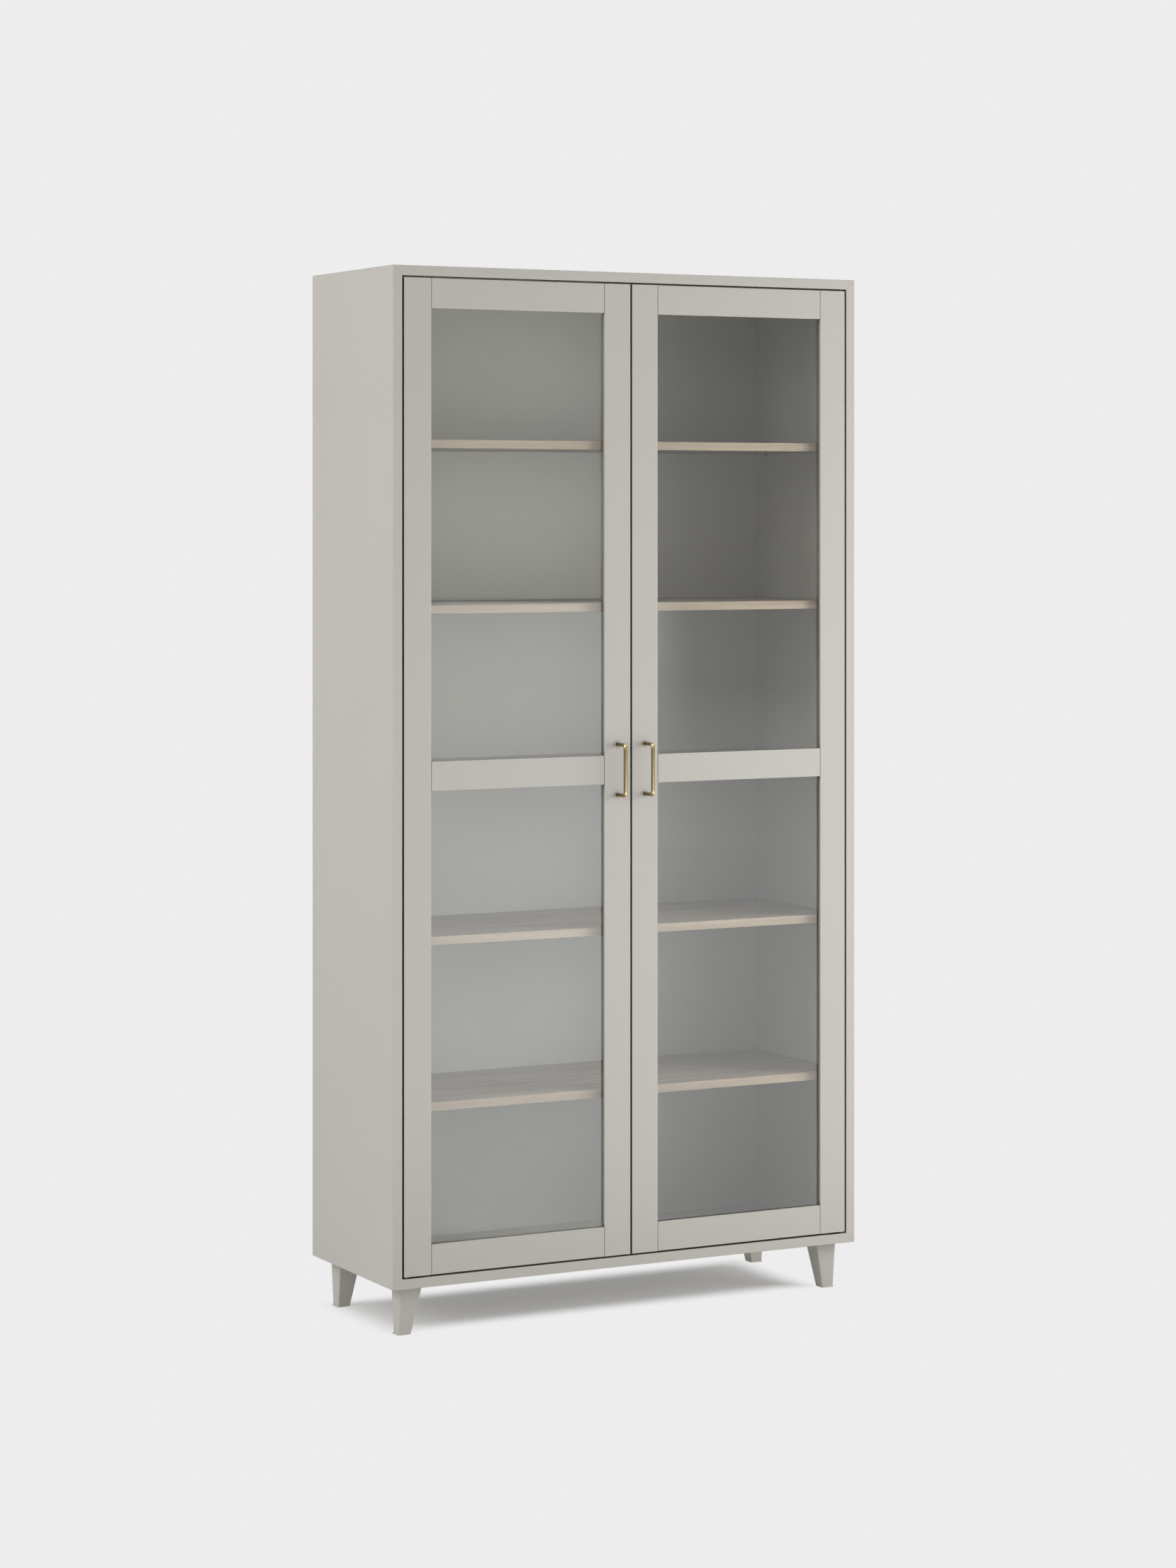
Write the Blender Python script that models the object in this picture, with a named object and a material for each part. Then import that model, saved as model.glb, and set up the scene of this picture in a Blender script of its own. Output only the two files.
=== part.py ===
"""Tall display cabinet on tapered legs, with two framed glass doors and five shelves.

Metres, +Z up, front towards -Y. The origin is on the floor, in the middle of the
cabinet's plan, with the handles counted in its depth.
"""

from math import cos, pi, radians, sin

import bmesh
import bpy
from mathutils import Matrix, Vector

# Carcass
carcass_width = 1.000
carcass_height = 1.896
carcass_depth = 0.373
board = 0.019
board_ease = 0.001
outer_corner_ease = 0.0012
outer_corner_turn_shares = (1 / 4, 1 / 2)
back_thickness = 0.008
back_set_in = 0.013
back_groove_depth = 0.007

# Legs
leg_height = 0.092
leg_top_width = 0.044
leg_foot_width = 0.025
leg_side_inset = 0.028
leg_front_inset = 0.0255
leg_arris = 0.002
foot_bevel = 0.0025
leg_bolt_radius = 0.004
leg_bolt_length = 0.013
leg_bolt_spare = 0.0015

# Shelves and their pins
shelf_thickness = 0.016
shelf_pitch = 0.309
shelf_ease = 0.0006
shelf_end_gap = 0.001
shelf_back_gap = 0.001
shelf_door_gap = 0.0025
shelf_housing_depth = 0.006
adjustable_shelves_each_way = 2
pin_radius = 0.0025
pin_depth = 0.008
pin_spare = 0.001
pin_peg_radius = 0.0033
pin_peg_length = 0.009
pin_nose = 0.001
pin_from_shelf_edge = 0.037

# Doors
door_gap = 0.0035
door_thickness = 0.020
door_ease = 0.0008
joint_arris = 0.0008
stile_width = 0.056
rail_height = 0.056
middle_rail_height = 0.055
front_lip = 0.0068
rebate_width = 0.010
tenon_length = 0.018
tenon_thickness = 0.006
tenon_shoulder = 0.005
glass_thickness = 0.004
glass_edge_gap = 0.0015
glass_arris = 0.0005
bead_sight_gap = 0.0018
bead_nose = 0.0006
bead_crest_width = 0.0031

# Pivot hinges, one pair at the top and bottom of each door
pivot_from_edge = 0.0065
pivot_behind_front = 0.0055
pivot_pin_radius = 0.0025
pivot_pin_end_gap = 0.001
leaf_half_width = 0.0042
leaf_thickness = 0.0025
leaf_reach_share = 0.62
leaf_screw_shares = (0.45, 0.85)
leaf_screw_radius = 0.0014
pivot_washer_radius = 0.0042
pivot_pin_below_leaf = 0.003

# Handles
handle_spacing = 0.096
handle_projection = 0.032
handle_rod_radius = 0.0035
handle_bend_radius = 0.006
handle_screw_radius = 0.002
handle_screw_head_radius = 0.004
handle_screw_head_height = 0.0022

# Magnetic catch
catch_width = 0.056
catch_height = 0.013
catch_depth = 0.014
catch_ear = 0.010
catch_ear_thickness = 0.0025
catch_ear_hole_radius = 0.002
catch_strike_space = 0.0018
catch_pole_width = 0.014
catch_pole_height = 0.004
catch_pole_proud = 0.0006
catch_pole_below_top_share = 0.6

# Gaps and facets
seat_gap = 0.0003
overrun = 0.002
ease_steps = 2
round_sides = 16
small_round_sides = 12
bend_steps = 5

# Places that follow from the sizes above
handle_reach = handle_projection + handle_rod_radius
front_y = (handle_reach - carcass_depth) / 2
rear_y = front_y + carcass_depth
floor_z = 0.0
carcass_bottom = floor_z + leg_height
carcass_top = carcass_bottom + carcass_height
carcass_middle = (carcass_bottom + carcass_top) / 2
half_width = carcass_width / 2
inner_half_width = half_width - board
back_rear_y = rear_y - back_set_in
back_front_y = back_rear_y - back_thickness
door_back_y = front_y + door_thickness
door_width = inner_half_width - door_gap * 3 / 2
door_bottom = carcass_bottom + board + door_gap
door_height = carcass_height - 2 * (board + door_gap)
hinge_x = inner_half_width - door_gap - pivot_from_edge
hinge_y = front_y + pivot_behind_front
shelf_front_y = door_back_y + shelf_door_gap
shelf_back_y = back_front_y - shelf_back_gap
stile_core = stile_width - rebate_width
leaf_reach = stile_core * leaf_reach_share


# Finishes
def finish(name, colour, roughness, metallic=0.0, alpha=1.0):
    material = bpy.data.materials.new(name)
    material.use_nodes = True
    shader = material.node_tree.nodes["Principled BSDF"]
    shader.inputs["Base Color"].default_value = (*colour, 1.0)
    shader.inputs["Roughness"].default_value = roughness
    shader.inputs["Metallic"].default_value = metallic
    shader.inputs["Alpha"].default_value = alpha
    return material


# Modelling steps shared by the pieces
def eased(outline, radii):
    """Round the right-angled corners of an outline, each by its own radius."""
    points = []
    count = len(outline)
    for index, radius in enumerate(radii):
        corner = Vector(outline[index])
        before = (Vector(outline[index - 1]) - corner).normalized()
        after = (Vector(outline[(index + 1) % count]) - corner).normalized()
        if radius == 0:
            points.append(corner)
            continue
        centre = corner + radius * (before + after)
        for step in range(ease_steps + 1):
            turn = pi / 2 * step / ease_steps
            points.append(centre - radius * (cos(turn) * after + sin(turn) * before))
    return points


def prism(outline, along, start, end):
    """Extrude an outline drawn across the X, Y or Z axis."""
    places = {
        "X": lambda u, v, run: (run, u, v),
        "Y": lambda u, v, run: (u, run, v),
        "Z": lambda u, v, run: (u, v, run),
    }
    place = places[along]
    mesh = bmesh.new()
    first = [mesh.verts.new(place(u, v, start)) for u, v in outline]
    face = mesh.faces.new(first)
    grown = bmesh.ops.extrude_face_region(mesh, geom=[face])
    moved = [item for item in grown["geom"] if isinstance(item, bmesh.types.BMVert)]
    bmesh.ops.translate(mesh, verts=moved, vec=Vector(place(0, 0, end - start)))
    bmesh.ops.recalc_face_normals(mesh, faces=mesh.faces)
    return mesh


def rectangle(low_u, high_u, low_v, high_v):
    return [(low_u, low_v), (high_u, low_v), (high_u, high_v), (low_u, high_v)]


def block(low, high):
    return prism(rectangle(low[0], high[0], low[1], high[1]), "Z", low[2], high[2])


def turned(stations, sides):
    """Sweep rings through stations of centre, ring axis and radius, all in one plane with X."""
    mesh = bmesh.new()
    rings = []
    for centre, side_axis, across_axis, radius in stations:
        ring = []
        for step in range(sides):
            turn = 2 * pi * (step + 0.5) / sides
            offset = Vector(side_axis) * cos(turn) + Vector(across_axis) * sin(turn)
            ring.append(mesh.verts.new(Vector(centre) + offset * radius))
        rings.append(ring)
    for ring, following in zip(rings, rings[1:]):
        for step in range(sides):
            after = (step + 1) % sides
            mesh.faces.new((ring[step], ring[after], following[after], following[step]))
    mesh.faces.new(rings[0])
    mesh.faces.new(rings[-1])
    bmesh.ops.recalc_face_normals(mesh, faces=mesh.faces)
    return mesh


def upright_turning(x, y, steps, sides):
    """A turned shape on a vertical axis, from pairs of height and radius."""
    stations = [((x, y, z), (1, 0, 0), (0, 1, 0), radius) for z, radius in steps]
    return turned(stations, sides)


def joined(meshes):
    """Several separate tools in one mesh."""
    whole = bmesh.new()
    for mesh in meshes:
        holder = bpy.data.meshes.new("tool")
        mesh.to_mesh(holder)
        whole.from_mesh(holder)
        bpy.data.meshes.remove(holder)
    return whole


def make_object(name, mesh, material=None, parent=None):
    data = bpy.data.meshes.new(name)
    mesh.to_mesh(data)
    piece = bpy.data.objects.new(name, data)
    bpy.context.scene.collection.objects.link(piece)
    if material:
        data.materials.append(material)
    piece.parent = parent
    return piece


def shade_round(piece, angle=radians(35)):
    piece.data.shade_smooth()
    piece.data.set_sharp_from_angle(angle=angle)


def work(piece, operation, meshes):
    """Cut the meshes out of a piece, or fuse them with it."""
    tool = make_object(piece.name + "_tool", joined(meshes), parent=piece.parent)
    tool.hide_render = True
    tool.display_type = "WIRE"
    modifier = piece.modifiers.new("work", "BOOLEAN")
    modifier.object = tool
    modifier.operation = operation
    modifier.solver = "EXACT"


# Carcass: four mitred boards with a groove for the back
def carcass_board(name, length, place, turn, material):
    """A board along local X, its outer face down, both ends mitred at 45 degrees."""
    groove_low = carcass_depth - back_set_in - back_thickness - seat_gap
    groove_high = carcass_depth - back_set_in + seat_gap
    outline = [
        (0, 0),
        (0, board),
        (groove_low, board),
        (groove_low, board - back_groove_depth),
        (groove_high, board - back_groove_depth),
        (groove_high, board),
        (carcass_depth, board),
        (carcass_depth, 0),
    ]
    ease = board_ease
    section = eased(outline, (ease, ease, 0, 0, 0, 0, ease, ease))
    mesh = prism(section, "X", -length / 2, length / 2)
    for vertex in mesh.verts:
        end = 1 if vertex.co.x > 0 else -1
        vertex.co.x -= end * (vertex.co.z + seat_gap / 2)
    for end in (-1, 1):
        centre = Vector((end * (length / 2 - outer_corner_ease), 0, outer_corner_ease))
        for turn_share in outer_corner_turn_shares:
            angle = pi / 2 * turn_share
            normal = Vector((end * sin(angle), 0, -cos(angle)))
            everything = mesh.verts[:] + mesh.edges[:] + mesh.faces[:]
            cut = bmesh.ops.bisect_plane(
                mesh,
                geom=everything,
                plane_co=centre + normal * outer_corner_ease,
                plane_no=normal,
                clear_outer=True,
            )
            rim = [item for item in cut["geom_cut"] if isinstance(item, bmesh.types.BMEdge)]
            bmesh.ops.edgenet_fill(mesh, edges=rim)
    bmesh.ops.recalc_face_normals(mesh, faces=mesh.faces)
    piece = make_object(name, mesh, material)
    piece.location = place
    piece.rotation_euler = (0, turn, 0)
    return piece


def make_carcass(paint):
    quarter = pi / 2
    bottom = carcass_board(
        "bottom_panel", carcass_width, (0, front_y, carcass_bottom), 0, paint
    )
    top = carcass_board("top_panel", carcass_width, (0, front_y, carcass_top), 2 * quarter, paint)
    left = carcass_board(
        "left_side", carcass_height, (-half_width, front_y, carcass_middle), quarter, paint
    )
    right = carcass_board(
        "right_side", carcass_height, (half_width, front_y, carcass_middle), -quarter, paint
    )
    reach = back_groove_depth - seat_gap
    back = block(
        (-inner_half_width - reach, back_front_y, carcass_bottom + board - reach),
        (inner_half_width + reach, back_rear_y, carcass_top - board + reach),
    )
    make_object("back_panel", back, paint)
    return bottom, top, left, right


# Legs: tapered on three faces, upright on the outer side, with a bolt in the top
def make_legs(paint, bottom):
    holes = []
    for across, x_name in ((-1, "left"), (1, "right")):
        for along, y_name in ((-1, "front"), (1, "rear")):
            outer_x = half_width - leg_side_inset
            middle_y = carcass_depth / 2 - leg_front_inset - leg_top_width / 2
            centre_y = (front_y + rear_y) / 2 + along * middle_y
            mesh = bmesh.new()
            loops = []
            for z, width in ((floor_z, leg_foot_width), (carcass_bottom - seat_gap, leg_top_width)):
                corners = rectangle(
                    outer_x - width, outer_x, centre_y - width / 2, centre_y + width / 2
                )
                loops.append([mesh.verts.new((across * x, y, z)) for x, y in corners])
            foot, head = loops
            mesh.faces.new(foot)
            mesh.faces.new(head)
            for index in range(len(foot)):
                after = (index + 1) % len(foot)
                mesh.faces.new((foot[index], foot[after], head[after], head[index]))
            uprights = [mesh.edges.get((low, high)) for low, high in zip(foot, head)]
            bmesh.ops.bevel(
                mesh, geom=uprights, offset=leg_arris, segments=ease_steps, profile=0.5,
                affect="EDGES",
            )
            rim = [edge for edge in mesh.edges if all(v.co.z == floor_z for v in edge.verts)]
            bmesh.ops.bevel(
                mesh, geom=rim, offset=foot_bevel, segments=1, profile=0.5, affect="EDGES"
            )
            bmesh.ops.recalc_face_normals(mesh, faces=mesh.faces)
            leg = make_object(f"leg_{y_name}_{x_name}", mesh, paint)
            bolt_x = across * (outer_x - leg_top_width / 2)
            tip = carcass_bottom + leg_bolt_length
            steps = ((carcass_bottom - overrun, leg_bolt_radius), (tip, leg_bolt_radius))
            work(leg, "UNION", [upright_turning(bolt_x, centre_y, steps, round_sides)])
            hole_radius = leg_bolt_radius + seat_gap
            hole_steps = ((carcass_bottom - overrun, hole_radius), (tip + leg_bolt_spare, hole_radius))
            holes.append(upright_turning(bolt_x, centre_y, hole_steps, round_sides))
    work(bottom, "DIFFERENCE", holes)


# Shelves: the middle one housed in the sides, the others on pins
def shelf_mesh(half_length, middle_z):
    half = shelf_thickness / 2
    outline = rectangle(shelf_front_y, shelf_back_y, middle_z - half, middle_z + half)
    section = eased(outline, (shelf_ease, 0, 0, shelf_ease))
    return prism(section, "X", -half_length, half_length)


def level_turning(side, y, z, steps, sides):
    """A turned shape on a level axis that leaves a side's inner face towards the middle."""
    stations = []
    for distance, radius in steps:
        x = side * (inner_half_width - distance)
        stations.append(((x, y, z), (0, 1, 0), (0, 0, 1), radius))
    return turned(stations, sides)


def make_shelves(wood, metal, left, right):
    housed = inner_half_width + shelf_housing_depth
    make_object("shelf_middle_fixed", shelf_mesh(housed - seat_gap, carcass_middle), wood)
    half = shelf_thickness / 2 + seat_gap
    cuts = {-1: [], 1: []}
    for side in cuts:
        ends = sorted((side * (inner_half_width - overrun), side * housed))
        cuts[side].append(
            block(
                (ends[0], shelf_front_y - seat_gap, carcass_middle - half),
                (ends[1], back_front_y + back_thickness / 2, carcass_middle + half),
            )
        )
    names = {-2: "shelf_lowest", -1: "shelf_lower", 1: "shelf_upper", 2: "shelf_top"}
    tip = seat_gap + pin_peg_length
    steps = (
        (-pin_depth, pin_radius),
        (seat_gap, pin_radius),
        (seat_gap, pin_peg_radius),
        (tip - pin_nose, pin_peg_radius),
        (tip, pin_peg_radius - pin_nose),
    )
    hole = ((-pin_depth - pin_spare, pin_radius + seat_gap), (overrun, pin_radius + seat_gap))
    for count in range(-adjustable_shelves_each_way, adjustable_shelves_each_way + 1):
        if count == 0:
            continue
        middle_z = carcass_middle + count * shelf_pitch
        name = names.get(count, f"shelf_{count}")
        make_object(name, shelf_mesh(inner_half_width - shelf_end_gap, middle_z), wood)
        pin_z = middle_z - shelf_thickness / 2 - seat_gap - pin_peg_radius
        for side, x_name in ((-1, "left"), (1, "right")):
            for y, y_name in (
                (shelf_front_y + pin_from_shelf_edge, "front"),
                (shelf_back_y - pin_from_shelf_edge, "rear"),
            ):
                pin = level_turning(side, y, pin_z, steps, small_round_sides)
                piece = make_object(f"pin_{name}_{y_name}_{x_name}", pin, metal)
                shade_round(piece)
                cuts[side].append(level_turning(side, y, pin_z, hole, small_round_sides))
    work(left, "DIFFERENCE", cuts[-1])
    work(right, "DIFFERENCE", cuts[1])


# Doors, drawn from the hinge edge, the front face and the bottom edge
def door_space(mesh, side):
    """Move a mesh drawn in the door's own corner to the hinge axis, mirrored on the right."""
    shift = Matrix.Translation((-pivot_from_edge, -pivot_behind_front, 0))
    mirror = Matrix.Diagonal((-side, 1, 1, 1))
    bmesh.ops.transform(mesh, matrix=mirror @ shift, verts=mesh.verts)
    bmesh.ops.recalc_face_normals(mesh, faces=mesh.faces)
    return mesh


def carcass_space(mesh, side):
    """The same place in the closed door, for a piece that stays on the carcass."""
    door_space(mesh, side)
    bmesh.ops.translate(mesh, verts=mesh.verts, vec=(side * hinge_x, hinge_y, door_bottom))
    return mesh


def door_levels():
    """Bottom and top of the bottom, middle and top rails above the door's bottom edge."""
    middle = door_height / 2
    half = middle_rail_height / 2
    return (
        (0.0, rail_height),
        (middle - half, middle + half),
        (door_height - rail_height, door_height),
    )


def tenon_spans():
    """Heights of the three tenons, inside the part of each rail that no rebate cuts."""
    bottom, middle, top = door_levels()
    return (
        (bottom[0] + 2 * tenon_shoulder, bottom[1] - rebate_width - tenon_shoulder),
        (middle[0] + rebate_width + tenon_shoulder, middle[1] - rebate_width - tenon_shoulder),
        (top[0] + rebate_width + tenon_shoulder, top[1] - 2 * tenon_shoulder),
    )


def tenon_layer():
    low = front_lip + tenon_shoulder / 2
    return low, low + tenon_thickness


def stile_mesh(from_hinge_edge, opening_after):
    """A stile with its rebate on the side of the opening."""
    outline = [
        (0, 0),
        (stile_width, 0),
        (stile_width, front_lip),
        (stile_core, front_lip),
        (stile_core, door_thickness),
        (0, door_thickness),
    ]
    section = eased(outline, (door_ease, door_ease, 0, 0, 0, door_ease))
    if opening_after:
        placed = [(from_hinge_edge + a, b) for a, b in section]
    else:
        placed = [(from_hinge_edge + stile_width - a, b) for a, b in section]
    return prism(placed, "Z", 0.0, door_height)


def mortise_meshes(core_edge, towards):
    """Slots for the three tenons, from a stile's rebate wall into its core."""
    layer = tenon_layer()
    ends = sorted((core_edge - towards * overrun, core_edge + towards * (tenon_length + seat_gap)))
    slots = []
    for low, high in tenon_spans():
        slots.append(
            block(
                (ends[0], layer[0] - seat_gap, low - seat_gap),
                (ends[1], layer[1] + seat_gap, high + seat_gap),
            )
        )
    return slots


def rail_outline(low, high, rebate_below, rebate_above):
    """Section of a rail across X, in depth and height."""
    outline = [(0, low)]
    radii = [door_ease]
    if rebate_below:
        core_low = low + rebate_width
        outline += [(front_lip, low), (front_lip, core_low), (door_thickness, core_low)]
        radii += [0, 0, 0]
    else:
        outline.append((door_thickness, low))
        radii.append(door_ease)
    if rebate_above:
        core_high = high - rebate_width
        outline += [(door_thickness, core_high), (front_lip, core_high), (front_lip, high)]
        radii += [0, 0, 0]
    else:
        outline.append((door_thickness, high))
        radii.append(door_ease)
    outline.append((0, high))
    radii.append(door_ease)
    return eased(outline, radii)


def make_rails(label, side, axis, paint):
    """Rails with a short shoulder at the front and a long one that fills the stile's rebate.

    The front shoulder's arris is taken off, so that each joint shows as a fine groove.
    """
    front_start = stile_width + seat_gap / 2
    front_end = door_width - front_start
    core_start = stile_core + seat_gap
    core_end = door_width - core_start
    layer = tenon_layer()
    rebates = ((False, True), (True, True), (True, False))
    names = ("bottom", "middle", "top")
    for name, (low, high), (below, above), (foot, head) in zip(
        names, door_levels(), rebates, tenon_spans()
    ):
        mesh = prism(rail_outline(low, high, below, above), "X", core_start, core_end)
        rail = make_object(f"{label}_{name}_rail", door_space(mesh, side), paint, axis)
        lip_ends = [
            prism(
                [
                    (past_end, -overrun),
                    (shoulder + inward * (joint_arris + overrun), -overrun),
                    (shoulder, joint_arris),
                    (shoulder, front_lip + seat_gap),
                    (past_end, front_lip + seat_gap),
                ],
                "Z", low - overrun, high + overrun,
            )
            for past_end, shoulder, inward in (
                (core_start - overrun, front_start, 1),
                (core_end + overrun, front_end, -1),
            )
        ]
        work(rail, "DIFFERENCE", [door_space(mesh, side) for mesh in lip_ends])
        tenons = [
            block((start, layer[0], foot), (end, layer[1], head))
            for start, end in (
                (core_start - tenon_length, core_start + overrun),
                (core_end - overrun, core_end + tenon_length),
            )
        ]
        work(rail, "UNION", [door_space(mesh, side) for mesh in tenons])


def make_stiles(label, side, axis, paint):
    hinge_stile = make_object(
        f"{label}_hinge_stile", door_space(stile_mesh(0.0, True), side), paint, axis
    )
    slots = mortise_meshes(stile_core, -1)
    work(hinge_stile, "DIFFERENCE", [door_space(mesh, side) for mesh in slots])
    free_start = door_width - stile_width
    free_stile = make_object(
        f"{label}_meeting_stile", door_space(stile_mesh(free_start, False), side), paint, axis
    )
    slots = mortise_meshes(free_start + rebate_width, 1)
    work(free_stile, "DIFFERENCE", [door_space(mesh, side) for mesh in slots])
    return hinge_stile, free_stile


def pane_spans():
    bottom, middle, top = door_levels()
    return (("lower", bottom[1], middle[0]), ("upper", middle[1], top[0]))


def make_glazing(label, side, axis, glass, paint):
    """Two panes in their rebates, each held by a mitred frame of beading."""
    glass_front = front_lip + seat_gap
    glass_back = glass_front + glass_thickness
    bead_front = glass_back + seat_gap
    under = rebate_width - glass_edge_gap
    bead_under = rebate_width - seat_gap
    opening_start = stile_width
    opening_end = door_width - stile_width
    for name, low, high in pane_spans():
        outline = rectangle(opening_start - under, opening_end + under, low - under, high + under)
        corners = (glass_arris,) * len(outline)
        pane = prism(eased(outline, corners), "Y", glass_front, glass_back)
        make_object(f"{label}_{name}_glass", door_space(pane, side), glass, axis)
        splayed_section = [
            (-bead_under, bead_front),
            (-bead_sight_gap, bead_front),
            (-bead_sight_gap, bead_front + bead_nose),
            (bead_crest_width - bead_under, door_thickness),
            (-bead_under, door_thickness),
        ]
        mesh = bmesh.new()
        loops = []
        for inset, depth in splayed_section:
            frame = rectangle(
                opening_start + inset, opening_end - inset, low + inset, high - inset
            )
            loops.append([mesh.verts.new((a, depth, c)) for a, c in frame])
        for index, loop in enumerate(loops):
            following = loops[(index + 1) % len(loops)]
            for corner in range(len(loop)):
                after = (corner + 1) % len(loop)
                mesh.faces.new((loop[corner], loop[after], following[after], following[corner]))
        make_object(f"{label}_{name}_bead", door_space(mesh, side), paint, axis)


# Pivot hinges: a leaf in the door's end grain and a leaf with the pin in the carcass
def leaf_outline(a, b, grow=0.0):
    """A strip with round ends, from the pivot along the door."""
    radius = leaf_half_width + grow
    points = []
    for centre, start in ((a + leaf_reach, -pi / 2), (a, pi / 2)):
        for step in range(small_round_sides // 2 + 1):
            turn = start + pi * step / (small_round_sides // 2)
            points.append((centre + radius * cos(turn), b + radius * sin(turn)))
    return points


def leaf_screw_holes(low, high):
    steps = ((low - overrun, leaf_screw_radius), (high + overrun, leaf_screw_radius))
    return [
        upright_turning(
            pivot_from_edge + leaf_reach * share, pivot_behind_front, steps, small_round_sides
        )
        for share in leaf_screw_shares
    ]


def make_hinges(label, side, axis, steel, hinge_stile, top, bottom):
    outline = leaf_outline(pivot_from_edge, pivot_behind_front)
    mortise = leaf_outline(pivot_from_edge, pivot_behind_front, seat_gap)
    a, b = pivot_from_edge, pivot_behind_front
    hole_radius = pivot_pin_radius + seat_gap
    ends = (
        ("top", door_height, 1, top),
        ("bottom", 0.0, -1, bottom),
    )
    for name, door_end, out, panel in ends:
        leaf_in = door_end - out * leaf_thickness
        low, high = sorted((leaf_in, door_end))
        leaf = make_object(
            f"{label}_{name}_hinge_leaf",
            door_space(prism(outline, "Z", low, high), side), steel, axis,
        )
        bore = ((low - overrun, hole_radius), (high + overrun, hole_radius))
        holes = [upright_turning(a, b, bore, round_sides), *leaf_screw_holes(low, high)]
        work(leaf, "DIFFERENCE", [door_space(mesh, side) for mesh in holes])

        floor = leaf_in - out * seat_gap
        low, high = sorted((floor, door_end + out * overrun))
        cut = prism(mortise, "Z", low, high)
        work(hinge_stile, "DIFFERENCE", [door_space(cut, side)])
        pin_end = leaf_in - out * pivot_pin_below_leaf
        deep = pin_end - out * pivot_pin_end_gap
        well = sorted((deep, floor + out * overrun))
        steps = [(z, hole_radius) for z in well]
        cut = upright_turning(a, b, steps, round_sides)
        work(hinge_stile, "DIFFERENCE", [door_space(cut, side)])

        panel_face = door_end + out * door_gap
        plate_out = panel_face + out * leaf_thickness
        low, high = sorted((panel_face, plate_out))
        plate = make_object(
            f"{label}_{name}_pivot_plate",
            carcass_space(prism(outline, "Z", low, high), side), steel,
        )
        work(plate, "DIFFERENCE", [carcass_space(m, side) for m in leaf_screw_holes(low, high)])
        washer_face = door_end + out * seat_gap
        steps = (
            (pin_end, pivot_pin_radius),
            (washer_face, pivot_pin_radius),
            (washer_face, pivot_washer_radius),
            (panel_face, pivot_washer_radius),
            (panel_face, pivot_pin_radius),
            (panel_face + out * leaf_thickness / 2, pivot_pin_radius),
        )
        pin = upright_turning(a, b, steps, round_sides)
        work(plate, "UNION", [carcass_space(pin, side)])
        low, high = sorted((panel_face - out * overrun, plate_out + out * seat_gap))
        work(panel, "DIFFERENCE", [carcass_space(prism(mortise, "Z", low, high), side)])


# Handles: a bent round bar, screwed on through the stile
def make_handle(label, side, axis, brass, meeting_stile):
    a = door_width - stile_width / 2
    middle = door_height / 2
    low = middle - handle_spacing / 2
    high = middle + handle_spacing / 2
    head_face = door_thickness + seat_gap
    along_a = (1, 0, 0)
    stations = [
        ((a, depth, low), along_a, (0, 0, 1), radius)
        for depth, radius in (
            (head_face + handle_screw_head_height, handle_screw_head_radius),
            (head_face, handle_screw_head_radius),
            (head_face, handle_screw_radius),
            (-seat_gap, handle_screw_radius),
            (-seat_gap, handle_rod_radius),
        )
    ]
    bend_out = handle_bend_radius - handle_projection
    for step in range(bend_steps + 1):
        turn = pi / 2 * step / bend_steps
        centre = (
            a,
            bend_out - handle_bend_radius * sin(turn),
            low + handle_bend_radius * (1 - cos(turn)),
        )
        stations.append((centre, along_a, (0, sin(turn), cos(turn)), handle_rod_radius))
    mirrored = [
        ((x, y, low + high - z), side_axis, (across[0], across[1], -across[2]), radius)
        for (x, y, z), side_axis, across, radius in reversed(stations)
    ]
    mesh = turned(stations + mirrored, round_sides)
    handle = make_object(f"{label}_handle", door_space(mesh, side), brass, axis)
    shade_round(handle)
    hole_radius = handle_screw_radius + seat_gap
    holes = []
    for z in (low, high):
        ring = (
            ((a, -overrun, z), along_a, (0, 0, 1), hole_radius),
            ((a, door_thickness + overrun, z), along_a, (0, 0, 1), hole_radius),
        )
        holes.append(door_space(turned(ring, round_sides), side))
    work(meeting_stile, "DIFFERENCE", holes)


def make_door(side, label, paint, glass, steel, brass, top, bottom):
    """A door on an empty that stands on its hinge axis; side is -1 on the left."""
    axis = bpy.data.objects.new(f"{label}_axis", None)
    bpy.context.scene.collection.objects.link(axis)
    axis.location = (side * hinge_x, hinge_y, door_bottom)
    hinge_stile, meeting_stile = make_stiles(label, side, axis, paint)
    make_rails(label, side, axis, paint)
    make_glazing(label, side, axis, glass, paint)
    make_hinges(label, side, axis, steel, hinge_stile, top, bottom)
    make_handle(label, side, axis, brass, meeting_stile)


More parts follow.
